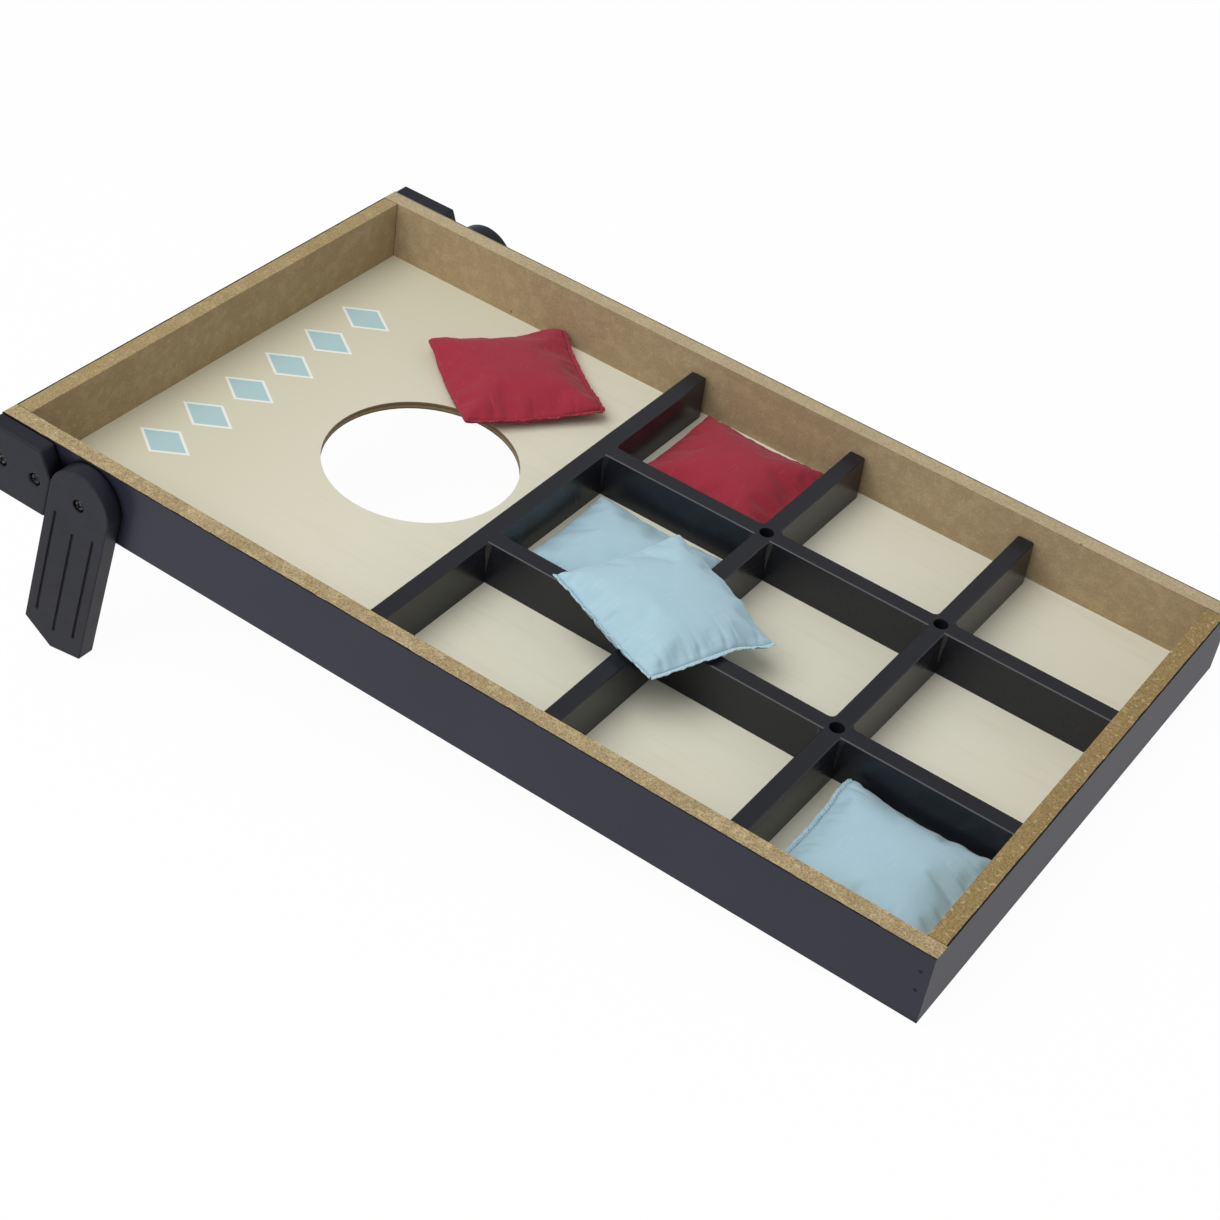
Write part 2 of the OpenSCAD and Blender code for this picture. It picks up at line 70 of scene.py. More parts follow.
corner = Vector()
for direction in (ALONG, ACROSS, NORMAL):
    corner += direction * reach("near_side_rail", direction)[0]
BOARD = Matrix((ALONG, ACROSS, NORMAL)).transposed().to_4x4()
BOARD.translation = corner
BOARD_INVERSE = BOARD.inverted()
BOARD_LEN = reach("near_side_rail", ALONG)[1] - reach("near_side_rail", ALONG)[0]
BOARD_W = reach("far_side_rail", ACROSS)[1] - reach("near_side_rail", ACROSS)[0]
RAIL_T = reach("near_side_rail", ACROSS)[1] - reach("near_side_rail", ACROSS)[0]
BASE_TOP = reach("base_board", NORMAL)[1] - corner.dot(NORMAL)
BASE_BOTTOM = reach("base_board", NORMAL)[0] - corner.dot(NORMAL)
GRID_TOP = reach("grid_divider", NORMAL)[1] - corner.dot(NORMAL)


def srgb(red, green, blue):
    """A colour written as a screen shows it, as the linear colour that nodes take."""
    def linear(value):
        share = value / 255
        return share / 12.92 if share <= 0.04045 else ((share + 0.055) / 1.055) ** 2.4
    return (linear(red), linear(green), linear(blue), 1.0)


class Tree:
    """Node tree of one material, with short calls for the nodes that this scene uses."""

    # Colour sockets of a Mix node, by place, because other types share their names
    MIX_FACTOR = 0
    MIX_A = 6
    MIX_B = 7
    MIX_RESULT = 2

    def __init__(self, name):
        self.material = bpy.data.materials.new(name)
        self.material.use_nodes = True
        self.nodes = self.material.node_tree.nodes
        self.links = self.material.node_tree.links
        self.shader = self.nodes["Principled BSDF"]

    def put(self, socket, value):
        """Links an output to a socket, or sets the socket to a constant."""
        if isinstance(value, bpy.types.NodeSocket):
            self.links.new(value, socket)
        else:
            socket.default_value = value

    def add(self, kind, inputs=None, **settings):
        node = self.nodes.new("ShaderNode" + kind)
        for key, value in settings.items():
            setattr(node, key, value)
        for socket, value in (inputs or {}).items():
            self.put(node.inputs[socket], value)
        return node

    def math(self, operation, a, b=0.0):
        return self.add("Math", {0: a, 1: b}, operation=operation).outputs[0]

    def times(self, a, b):
        return self.math("MULTIPLY", a, b)

    def minus(self, a, b):
        return self.math("SUBTRACT", a, b)

    def above(self, a, b):
        return self.math("GREATER_THAN", a, b)

    def most(self, a, b):
        return self.math("MAXIMUM", a, b)

    def dot(self, a, b):
        return self.add("VectorMath", {0: a, 1: b}, operation="DOT_PRODUCT").outputs["Value"]

    def step(self, value, low, high):
        """0 below low, 1 above high and smooth between them."""
        sockets = {"Value": value, "From Min": low, "From Max": high}
        return self.add("MapRange", sockets, interpolation_type="SMOOTHSTEP").outputs[0]

    def span(self, value, low, high):
        """A value from 0 to 1 spread from low to high."""
        return self.add("MapRange", {"Value": value, "To Min": low, "To Max": high}).outputs[0]

    def mix(self, factor, a, b):
        node = self.add("Mix", data_type="RGBA")
        self.put(node.inputs[self.MIX_FACTOR], factor)
        self.put(node.inputs[self.MIX_A], a)
        self.put(node.inputs[self.MIX_B], b)
        return node.outputs[self.MIX_RESULT]

    def noise(self, coords, size, detail=2.0, roughness=0.5, stretch=(1.0, 1.0, 1.0)):
        """Noise with features of a size in metres, drawn out along the axes by stretch."""
        scaled = self.add("Mapping", {"Vector": coords, "Scale": [1 / s for s in stretch]}).outputs[0]
        sockets = {"Vector": scaled, "Scale": 1 / size, "Detail": detail, "Roughness": roughness}
        return self.add("TexNoise", sockets).outputs["Fac"]

    def cells(self, coords, size):
        """Distance to the nearest of scattered points, in cells, and a random colour for each cell."""
        node = self.add("TexVoronoi", {"Vector": coords, "Scale": 1 / size})
        return node.outputs["Distance"], node.outputs["Color"]

    def axes(self, vector):
        return self.add("SeparateXYZ", {0: vector}).outputs

    def bump(self, height, depth, strength):
        sockets = {"Height": height, "Distance": depth, "Strength": strength}
        self.put(self.shader.inputs["Normal"], self.add("Bump", sockets).outputs[0])

    def own_place(self):
        """Place in the shared frame in metres."""
        return self.add("TexCoord").outputs["Object"]

    def board_place(self):
        """Place on the board as u, v and w in metres."""
        turned = -(Matrix.Rotation(-TILT, 3, "Y") @ corner)
        sockets = {"Vector": self.own_place(), "Rotation": (0.0, -TILT, 0.0), "Location": turned}
        return self.add("Mapping", sockets).outputs[0]

    def board_normal(self):
        """Direction that the surface faces, as u, v and w."""
        raw = self.add("TexCoord").outputs["Normal"]
        sockets = {"Vector": raw, "Angle": -TILT}
        return self.add("VectorRotate", sockets, rotation_type="Y_AXIS").outputs[0]


def set_shader(tree, color, roughness, specular):
    tree.put(tree.shader.inputs["Base Color"], color)
    tree.put(tree.shader.inputs["Roughness"], roughness)
    tree.put(tree.shader.inputs["Specular IOR Level"], specular)


# Paint on the outside of the tray, the legs and the stop blocks
PAINT = srgb(40, 41, 53)
PAINT_DEEP = srgb(24, 25, 33)
PAINT_EDGE = srgb(20, 20, 25)
PAINT_WORN = srgb(56, 57, 70)
PAINT_RUBBED = srgb(98, 98, 94)
# Colour of the painted shade in the narrow gaps between parts
GAP_PAINTED_SHADE = srgb(8, 8, 10)
PAINT_SPECULAR = 0.2
PAINT_ROUGH = (0.42, 0.56)
PAINT_SHINE = {"size": 12 * MM, "detail": 3.0}
PAINT_CLOUDS = {"size": 45 * MM, "detail": 3.0}
PAINT_CLOUD_SHARE = (0.0, 0.25)
PAINT_RUBS = {"size": 6 * MM, "detail": 4.0, "stretch": (4.0, 1.0, 1.0)}
PAINT_RUB_EDGE = (0.68, 0.82)
PAINT_RUB_SHARE = 0.35
PAINT_PEEL = {"size": 1.6 * MM, "detail": 3.0}
PAINT_BUMP = {"depth": 0.12 * MM, "strength": 0.5}
# Painted shade: ambient occlusion darkens the paint in the narrow gaps between parts
CREVICE = 9 * MM
CREVICE_SAMPLES = 8
CREVICE_EDGE = (0.85, 0.35)


def painted_gap_shade(tree):
    """Painted shade: 1 deep in the narrow places between parts, where light is shut out, and 0 on open
    faces.
    """
    node = tree.add("AmbientOcclusion", {"Distance": CREVICE}, samples=CREVICE_SAMPLES)
    return tree.step(node.outputs["AO"], *CREVICE_EDGE)


def paint_color(tree, place, tone=PAINT):
    """Slate-black film with faint clouds and a few paler rubs, darkened by painted shade in the narrow gaps
    between parts.
    """
    clouds = tree.noise(place, **PAINT_CLOUDS)
    rubs = tree.step(tree.noise(place, **PAINT_RUBS), *PAINT_RUB_EDGE)
    shade = tree.mix(tree.span(clouds, *PAINT_CLOUD_SHARE), tone, PAINT_WORN)
    shade = tree.mix(tree.times(rubs, PAINT_RUB_SHARE), shade, PAINT_WORN)
    return tree.mix(painted_gap_shade(tree), shade, GAP_PAINTED_SHADE)


def painted(name):
    """Film with a fine orange peel over the fibres below it."""
    tree = Tree(name)
    place = tree.own_place()
    rough = tree.span(tree.noise(place, **PAINT_SHINE), *PAINT_ROUGH)
    set_shader(tree, paint_color(tree, place, PAINT_DEEP), rough, PAINT_SPECULAR)
    tree.bump(tree.noise(place, **PAINT_PEEL), **PAINT_BUMP)
    return tree.material


# Raw fibreboard of the rails
FIBRE_DARK = srgb(112, 90, 56)
FIBRE_PALE = srgb(214, 194, 152)
FIBRE_CLOUDS = {"size": 60 * MM, "detail": 3.0}
FIBRE_CLOUD_SHARE = (0.0, 0.3)
CHIPS = {"size": 1.2 * MM, "detail": 3.0, "roughness": 0.65}
CHIP_EDGE = (0.42, 0.62)
FLECKS = {"size": 2.2 * MM, "detail": 3.0}
FLECK_EDGE = (0.55, 0.75)
FLECK_SHARE = 0.8
MOTTLES = {"size": 9 * MM, "detail": 4.0, "roughness": 0.6}
MOTTLE_EDGE = (0.42, 0.66)
PIT = srgb(70, 56, 38)
PIT_PITCH = 17 * MM
PIT_CHANCE = (0.6, 0.9)
PIT_EDGE = (0.085, 0.03)
PIT_SHARE = 0.6
FIBRE_ROUGH = 0.88
FIBRE_BUMP = {"depth": 0.25 * MM, "strength": 0.6}


def fibreboard(tree, place, tone, speckle, mottling):
    """Pressed fibres: clouds, speckles of dark and pale chips, and a few pits."""
    clouds = tree.noise(place, **FIBRE_CLOUDS)
    chips = tree.noise(place, **CHIPS)
    flecks = tree.noise(place, **FLECKS)
    mottles = tree.noise(place, **MOTTLES)
    dark = tree.times(tree.step(chips, *CHIP_EDGE), speckle)
    pale = tree.times(tree.step(flecks, *FLECK_EDGE), speckle * FLECK_SHARE)
    shade = tree.mix(tree.span(clouds, *FIBRE_CLOUD_SHARE), tone, FIBRE_DARK)
    shade = tree.mix(tree.times(tree.step(mottles, *MOTTLE_EDGE), mottling), shade, FIBRE_PALE)
    shade = tree.mix(dark, shade, FIBRE_DARK)
    shade = tree.mix(pale, shade, FIBRE_PALE)
    distance, chance = tree.cells(place, PIT_PITCH)
    chosen = tree.step(tree.axes(chance)[0], *PIT_CHANCE)
    pits = tree.times(tree.step(distance, *PIT_EDGE), tree.times(chosen, PIT_SHARE))
    return tree.mix(pits, shade, PIT), tree.minus(chips, pits)


# Rails: painted outside and below, raw inside and on top, with a thin lip of paint on the top's outer edge
NEAR = Vector((0, -1, 0))
FAR = Vector((0, 1, 0))
HEAD = Vector((-1, 0, 0))
FOOT = Vector((1, 0, 0))
FACES_OUT = 0.3
FACES_DOWN = -0.5
FACES_END = 0.7
FACES_UP = (0.4, 0.8)
PAINT_LIP = 1.0 * MM
LIP_WAVES = {"size": 9 * MM}
LIP_RANGE = (0.4 * PAINT_LIP, 1.6 * PAINT_LIP)
LIP_TURN = (-0.1, 0.5)
JOINT_LINE = 0.8 * MM
JOINT_SHARE = 0.75
END_GLOSS = 0.38
INNER_SPECKLE = 0.24
INNER_MOTTLING = 0.17


def lip_share(tree, place, out):
    """1 within a thin, uneven lip along the outer face of a rail."""
    outer_face = max(0.0, out.x) * BOARD_LEN + max(0.0, out.y) * BOARD_W
    depth = tree.minus(outer_face, tree.dot(place, out))
    lip = tree.span(tree.noise(place, **LIP_WAVES), *LIP_RANGE)
    return tree.math("LESS_THAN", depth, lip)


def end_joints(tree, place):
    """1 on the dark line where an end of the head or foot rail meets a side rail."""
    _, across, _ = tree.axes(place)
    from_middle = tree.math("ABSOLUTE", tree.minus(across, BOARD_W / 2))
    end = BOARD_W / 2 - RAIL_T
    return tree.step(from_middle, end - JOINT_LINE, end - JOINT_LINE / 2)


def rail(name, out, top_tone, inner_tone, speckle, mottling, gloss, lip_tone=PAINT_EDGE):
    """A rail with its outer face towards out. Side rails are painted on their ends too."""
    tree = Tree(name)
    place = tree.board_place()
    facing = tree.board_normal()
    sideways, _, upward = tree.axes(facing)
    at_end = tree.above(tree.math("ABSOLUTE", sideways), FACES_END)
    lapped = lip_share(tree, place, out)
    film = tree.most(lapped, tree.above(tree.dot(facing, out), FACES_OUT))
    film = tree.most(film, tree.math("LESS_THAN", upward, FACES_DOWN))
    if out.y:
        film = tree.most(film, at_end)
    sawn, sawn_height = fibreboard(tree, place, top_tone, speckle, mottling)
    pressed, _ = fibreboard(tree, place, inner_tone, INNER_SPECKLE, INNER_MOTTLING)
    raw = tree.mix(tree.step(upward, *FACES_UP), pressed, sawn)
    if out.x:
        raw = tree.mix(tree.times(end_joints(tree, place), JOINT_SHARE), raw, PIT)
    on_lip = tree.times(lapped, tree.step(upward, *LIP_TURN))
    coat = tree.mix(on_lip, paint_color(tree, place), lip_tone)
    shine = tree.span(at_end, gloss, END_GLOSS)
    rough = tree.minus(FIBRE_ROUGH, tree.times(film, shine))
    set_shader(tree, tree.mix(film, raw, coat), rough, PAINT_SPECULAR)
    tree.bump(tree.times(sawn_height, tree.minus(1.0, film)), **FIBRE_BUMP)
    return tree.material


# Row of diamonds printed by the head rail
PRINT_BLUE = srgb(164, 197, 203)
PRINT_WHITE = srgb(232, 236, 232)
PRINT_U = 50 * MM
PRINT_LINE = 1.8 * MM
PRINT_BLEED = 0.3 * PRINT_LINE
PRINT_COVER = (1.0, 0.8)
DIAMONDS = 6
DIAMOND_PITCH = 40 * MM
DIAMOND_LEN = 44 * MM
DIAMOND_W = 30 * MM


def diamonds(tree, place):
    """How far a place lies inside the nearest diamond of the row, in metres, negative outside."""
    u, v, _ = tree.axes(place)
    first = BOARD_W / 2 - DIAMOND_PITCH * (DIAMONDS / 2 - 0.5)
    turn = tree.math("ROUND", tree.math("DIVIDE", tree.minus(v, first), DIAMOND_PITCH))
    turn = tree.math("MINIMUM", tree.most(turn, 0.0), DIAMONDS - 1.0)
    own_v = tree.minus(v, tree.math("ADD", tree.times(turn, DIAMOND_PITCH), first))
    own_u = tree.minus(u, PRINT_U)
    wide = tree.math("DIVIDE", tree.math("ABSOLUTE", own_v), DIAMOND_W / 2)
    long = tree.math("DIVIDE", tree.math("ABSOLUTE", own_u), DIAMOND_LEN / 2)
    slope = 1 / math.hypot(2 / DIAMOND_W, 2 / DIAMOND_LEN)
    return tree.times(tree.minus(1.0, tree.math("ADD", wide, long)), slope)


# Washed plywood of the base board
WASH = srgb(222, 220, 203)
WASH_DEEP = srgb(206, 202, 178)
# Painted shade of the head rail on the board, fading out over a set distance from the head end
HEAD_RAIL_PAINTED_SHADE = srgb(202, 197, 174)
HEAD_SHADE_REACH = 300 * MM
WASH_CLOUDS = {"size": 55 * MM, "detail": 3.0, "stretch": (2.5, 1.0, 1.0)}
WASH_CLOUD_SHARE = (0.0, 0.5)
GRAIN = {"size": 5 * MM, "detail": 4.0, "stretch": (14.0, 1.0, 1.0)}
GRAIN_EDGE = (0.5, 0.75)
GRAIN_SHARE = 0.3
PORES = {"size": 1.2 * MM, "detail": 2.0, "stretch": (9.0, 1.0, 1.0)}
PLIES = 3
PLY_EDGE = srgb(96, 78, 52)
PLY_EDGE_PALE = srgb(150, 128, 92)
PLY_TURN = (0.3, 0.7)
PLY_FIBRES = {"size": 3 * MM, "detail": 3.0}
PLY_FIBRE_SHARE = (0.0, 0.8)
PLY_BACK = srgb(186, 164, 124)
PLY_BACK_SHARE = (0.0, 0.7)
PLY_UP = (0.3, 0.6)
PLY_DOWN = (-0.3, -0.6)
PLY_ROUGH = (0.5, 0.7)
PLY_SPECULAR = 0.3
PLY_BUMP = {"depth": 0.08 * MM, "strength": 0.5}


def washed_face(tree, place, grain, pores):
    """Pale wash over the grain, darkened towards the head rail by painted shade of the rail, with the
    printed row.
    """
    u, _, _ = tree.axes(place)
    clouds = tree.noise(place, **WASH_CLOUDS)
    # Painted shade: the board is darker towards the head rail, as the rail shades it
    wash = tree.mix(tree.step(u, 0.0, HEAD_SHADE_REACH), HEAD_RAIL_PAINTED_SHADE, WASH)
    wash = tree.mix(tree.span(clouds, *WASH_CLOUD_SHARE), wash, WASH_DEEP)
    wash = tree.mix(tree.times(tree.step(grain, *GRAIN_EDGE), GRAIN_SHARE), wash, WASH_DEEP)
    inside = diamonds(tree, place)
    inked = tree.mix(tree.step(inside, PRINT_LINE, PRINT_LINE + PRINT_BLEED), PRINT_WHITE, PRINT_BLUE)
    ink = tree.times(tree.step(inside, 0.0, PRINT_BLEED), tree.span(pores, *PRINT_COVER))
    return tree.mix(ink, wash, inked)


def sawn_plies(tree, place):
    """Sawn edge of the plywood, dark and pale by turns."""
    _, _, w = tree.axes(place)
    ply = tree.math("DIVIDE", tree.minus(w, BASE_BOTTOM), (BASE_TOP - BASE_BOTTOM) / PLIES)
    layer = tree.math("PINGPONG", ply, 1.0)
    shade = tree.mix(tree.step(layer, *PLY_TURN), PLY_EDGE, PLY_EDGE_PALE)
    fibres = tree.noise(place, **PLY_FIBRES)
    return tree.mix(tree.span(fibres, *PLY_FIBRE_SHARE), shade, PLY_EDGE)


def washed_plywood(name):
    tree = Tree(name)
    place = tree.board_place()
    _, _, upward = tree.axes(tree.board_normal())
    grain = tree.noise(place, **GRAIN)
    pores = tree.noise(place, **PORES)
    face = washed_face(tree, place, grain, pores)
    back = tree.mix(tree.span(grain, *PLY_BACK_SHARE), PLY_BACK, FIBRE_DARK)
    shade = tree.mix(tree.step(upward, *PLY_UP), sawn_plies(tree, place), face)
    shade = tree.mix(tree.step(upward, *PLY_DOWN), shade, back)
    set_shader(tree, shade, tree.span(pores, *PLY_ROUGH), PLY_SPECULAR)
    tree.bump(tree.math("ADD", pores, grain), **PLY_BUMP)
    return tree.material


# Satin black plastic of the grid
PLASTIC = srgb(24, 25, 31)
PLASTIC_WORN = srgb(44, 45, 51)
PLASTIC_CLOUDS = {"size": 30 * MM, "detail": 3.0}
PLASTIC_CLOUD_SHARE = (0.0, 0.2)
PLASTIC_SCUFFS = {"size": 3 * MM, "detail": 4.0, "stretch": (5.0, 1.0, 1.0)}
PLASTIC_SCUFF_EDGE = (0.66, 0.8)
PLASTIC_SCUFF_SHARE = 0.3
PLASTIC_ROUGH = (0.2, 0.32)
PLASTIC_SPECULAR = 0.38
PLASTIC_SKIN = {"size": 0.9 * MM, "detail": 2.0}
PLASTIC_BUMP = {"depth": 0.05 * MM, "strength": 0.35}


def moulded_plastic(name):
    tree = Tree(name)
    place = tree.board_place()
    clouds = tree.noise(place, **PLASTIC_CLOUDS)
    scuffs = tree.step(tree.noise(place, **PLASTIC_SCUFFS), *PLASTIC_SCUFF_EDGE)
    shade = tree.mix(tree.span(clouds, *PLASTIC_CLOUD_SHARE), PLASTIC, PLASTIC_WORN)
    shade = tree.mix(tree.times(scuffs, PLASTIC_SCUFF_SHARE), shade, PLASTIC_WORN)
    set_shader(tree, shade, tree.span(clouds, *PLASTIC_ROUGH), PLASTIC_SPECULAR)
    tree.bump(tree.noise(place, **PLASTIC_SKIN), **PLASTIC_BUMP)
    return tree.material


# Screws and brads
STEEL_WEAR = {"size": 1.1 * MM, "detail": 3.0}
STEEL_WEAR_EDGE = (0.5, 0.8)
STEEL_SPECULAR = 0.5
STEEL_BUMP = {"depth": 0.05 * MM, "strength": 0.4}


def steel(name, color, worn, metallic, roughness):
    tree = Tree(name)
    wear = tree.noise(tree.own_place(), **STEEL_WEAR)
    shade = tree.mix(tree.step(wear, *STEEL_WEAR_EDGE), color, worn)
    set_shader(tree, shade, roughness, STEEL_SPECULAR)
    tree.put(tree.shader.inputs["Metallic"], metallic)
    tree.bump(wear, **STEEL_BUMP)
    return tree.material


# Cotton and thread of the bean bags
WEAVE = "weave"
RED = srgb(159, 51, 65)
RED_DEEP = srgb(128, 32, 48)
RED_PALE = srgb(184, 96, 104)
BLUE = srgb(171, 200, 211)
BLUE_DEEP = srgb(142, 175, 190)
BLUE_PALE = srgb(206, 224, 230)
YARN_PITCH = 0.55 * MM
YARN_EDGE = (-0.2, -0.9)
YARN_SHARE = 0.3
SLUBS = {"size": 2.2 * MM, "detail": 3.0, "stretch": (1.0, 6.0, 1.0)}
SLUB_EDGE = (0.58, 0.75)
SLUB_SHARE = 0.18
SLUB_HEIGHT = 1.5
COTTON_CLOUDS = {"size": 22 * MM, "detail": 3.0}
COTTON_CLOUD_SHARE = (0.0, 0.35)
SPECK_PITCH = 9 * MM
SPECK_EDGE = (0.07, 0.03)
SPECK_CHANCE = (0.8, 0.82)
SPECK_SHARE = 0.5
COTTON_ROUGH = 0.95
COTTON_SPECULAR = 0.06
COTTON_SHEEN = 0.12
COTTON_SHEEN_ROUGH = 0.5
COTTON_BUMP = {"depth": 0.08 * MM, "strength": 0.5}
RED_THREAD = srgb(176, 84, 94)
RED_THREAD_DEEP = srgb(150, 50, 62)
BLUE_THREAD = srgb(214, 228, 232)
BLUE_THREAD_DEEP = srgb(176, 200, 210)
THREAD_TWIST = {"size": 0.5 * MM, "detail": 2.0}
THREAD_ROUGH = 0.8
THREAD_SPECULAR = 0.25
THREAD_BUMP = {"depth": 0.1 * MM, "strength": 0.5}


def cotton(name, color, deep, pale):
    """Plain weave that follows the panel it was cut from, with faint clouds and a few pale specks."""
    tree = Tree(name)
    panel = tree.add("Attribute", attribute_name=WEAVE).outputs["Vector"]
    across, along, _ = tree.axes(panel)
    warp = tree.math("SINE", tree.times(across, math.pi / YARN_PITCH))
    weft = tree.math("SINE", tree.times(along, math.pi / YARN_PITCH))
    over = tree.times(warp, weft)
    slubs = tree.noise(panel, **SLUBS)
    clouds = tree.noise(panel, **COTTON_CLOUDS)
    distance, chance = tree.cells(panel, SPECK_PITCH)
    chosen = tree.step(tree.axes(chance)[1], *SPECK_CHANCE)
    specks = tree.times(tree.step(distance, *SPECK_EDGE), chosen)
    shade = tree.mix(tree.span(clouds, *COTTON_CLOUD_SHARE), color, deep)
    shade = tree.mix(tree.times(tree.step(over, *YARN_EDGE), YARN_SHARE), shade, deep)
    shade = tree.mix(tree.times(tree.step(slubs, *SLUB_EDGE), SLUB_SHARE), shade, pale)
    shade = tree.mix(tree.times(specks, SPECK_SHARE), shade, pale)
    set_shader(tree, shade, COTTON_ROUGH, COTTON_SPECULAR)
    tree.put(tree.shader.inputs["Sheen Weight"], COTTON_SHEEN)
    tree.put(tree.shader.inputs["Sheen Roughness"], COTTON_SHEEN_ROUGH)
    tree.bump(tree.math("ADD", over, tree.times(slubs, SLUB_HEIGHT)), **COTTON_BUMP)
    return tree.material


def thread(name, color, deep):
    """Twisted sewing thread."""
    tree = Tree(name)
    twist = tree.noise(tree.own_place(), **THREAD_TWIST)
    set_shader(tree, tree.mix(twist, color, deep), THREAD_ROUGH, THREAD_SPECULAR)
    tree.bump(twist, **THREAD_BUMP)
    return tree.material


# Dress the solids
TOP_TONE = srgb(173, 156, 119)
TOP_HEAD = srgb(167, 149, 108)
TOP_PALE = srgb(186, 171, 139)
TOP_GOLD = srgb(154, 133, 87)
INNER_TONE = srgb(170, 150, 118)
INNER_DARK = srgb(164, 146, 112)
SCREW_BLACK = srgb(36, 36, 39)
SCREW_RUBBED = srgb(140, 140, 142)
SCREW_GREY = srgb(104, 104, 108)
SCREW_PALE = srgb(150, 150, 152)
BRAD_BLACK = srgb(6, 6, 8)
BRAD_RUBBED = srgb(16, 16, 18)
BRAD_DULL = srgb(104, 100, 94)
WELD_REACH = 0.005 * MM
FLAT_ANGLE = math.radians(0.5)
SHARP_ANGLE = math.radians(40)
LEG_EDGE = {"width": 0.8 * MM, "segments": 3}
BLOCK_EDGE = {"width": 1.4 * MM, "segments": 4}


def dress(material, *nodes):
    """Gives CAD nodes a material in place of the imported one."""
    for node in nodes:
        for slot in frame["nodes"][node].material_slots:
            slot.material = material


def soften(width, segments, nodes):
    """Rounds the sharp edges of CAD nodes a little, as paint and sanding do."""
    for node in nodes:
        obj = frame["nodes"][node]
        joined = obj.modifiers.new("Joined faces", "WELD")
        joined.merge_threshold = WELD_REACH
        flat = obj.modifiers.new("Flat faces", "DECIMATE")
        flat.decimate_type = "DISSOLVE"
        flat.angle_limit = FLAT_ANGLE
        edge = obj.modifiers.new("Soft edges", "BEVEL")
        edge.width = width
        edge.segments = segments
        edge.limit_method = "ANGLE"
        edge.angle_limit = SHARP_ANGLE
        edge.use_clamp_overlap = False


near_board = rail("near_rail_board", NEAR, TOP_TONE, INNER_TONE, speckle=0.6, mottling=0.36, gloss=0.58)
far_board = rail("far_rail_board", FAR, TOP_PALE, INNER_TONE, speckle=0.32, mottling=0.2, gloss=0.5,
                 lip_tone=PAINT_RUBBED)
head_board = rail("head_rail_board", HEAD, TOP_HEAD, INNER_DARK, speckle=0.45, mottling=0.15, gloss=0.5)
foot_board = rail("foot_rail_board", FOOT, TOP_GOLD, INNER_TONE, speckle=0.66, mottling=0.06,
                  gloss=END_GLOSS)
black_screw = steel("black_screw", SCREW_BLACK, SCREW_RUBBED, metallic=0.8, roughness=0.3)
grey_screw = steel("grey_screw", SCREW_GREY, SCREW_PALE, metallic=0.8, roughness=0.34)
# Brad heads near black: painted shade of the dents they sit in
painted_brad = steel("painted_brad", BRAD_BLACK, BRAD_RUBBED, metallic=0.0, roughness=0.9)
bright_brad = steel("bright_brad", SCREW_PALE, BRAD_DULL, metallic=0.9, roughness=0.35)

dress(near_board, "near_side_rail")
dress(far_board, "far_side_rail")
dress(head_board, "head_rail")
dress(foot_board, "foot_rail")
dress(washed_plywood("washed_plywood"), "base_board")
dress(moulded_plastic("moulded_plastic"), "grid_divider")
dress(painted("slate_paint"), "near_leg", "far_leg", "near_stop_block", "far_stop_block")
dress(black_screw, "near_stop_screws", "far_stop_screws", "near_pivot_screw", "far_pivot_screw")
dress(grey_screw, "grid_screws")
dress(painted_brad, "head_corner_brads", "foot_corner_brads")
dress(bright_brad, "base_brads")
soften(**LEG_EDGE, nodes=("near_leg", "far_leg"))
soften(**BLOCK_EDGE, nodes=("near_stop_block", "far_stop_block"))

# Bean bags, simulated in the board's frame at ten times their size, where cloth settles well
SIM_SCALE = 10.0
CLOTH_FRAMES = 40
CLOTH_GAP = 0.4 * MM
CLOTH_FRICTION = 30.0
COLLISION_QUALITY = 3
BAG_FLAT = 97 * MM
BAG_CELLS = 48
BAG_CELL = BAG_FLAT / BAG_CELLS
BAG_VOLUME = 148 * CM3
BAG_FULL = 185 * CM3
BAG_START = 10 * MM
PANEL_GAP = 5 * MM
BOW = 0.02
BED = 62 * MM
BED_FACES = [(0, 1, 3), (1, 2, 3)]
CORNER_REACH = 34 * MM
WAVE_REACH = 16 * MM
SEAM = "seam"
SEAM_DRAW = 0.03
COTTON_CLOTH = {
    "quality": 8,
    "mass": 0.1,
    "air_damping": 2.0,
    "tension_stiffness": 80.0,
    "compression_stiffness": 20.0,
    "shear_stiffness": 10.0,
    "bending_stiffness": 8.0,
    "bending_stiffness_max": 40.0,
    "tension_damping": 10.0,
    "compression_damping": 10.0,
    "shear_damping": 10.0,
    "bending_damping": 1.0,
    "use_pressure": True,
    "uniform_pressure_force": 0.0,
    "use_pressure_volume": True,
    "pressure_factor": 10.0,
    "fluid_density": 0.02,
    "vertex_group_bending": SEAM,
    "vertex_group_shrink": SEAM,
    "shrink_min": 0.0,
    "shrink_max": SEAM_DRAW,
}


def smooth(share):
    """Eases from 0 to 1."""
    share = min(max(share, 0.0), 1.0)
    return share * share * (3 - 2 * share)


def raised(x, y, corners, wave):
    """How far a place on the flat panels is lifted by turned-up corners and a wavy side."""
    half = BAG_FLAT / 2
    rise = 0.0
    for (side_x, side_y), height in corners.items():
        away = math.hypot(half * side_x - x, half * side_y - y)
        rise += height * smooth(1 - away / CORNER_REACH)
    if wave:
        rise += wave * math.sin(2 * math.pi * y / BAG_FLAT) * smooth(1 - (x + half) / WAVE_REACH)
    return rise


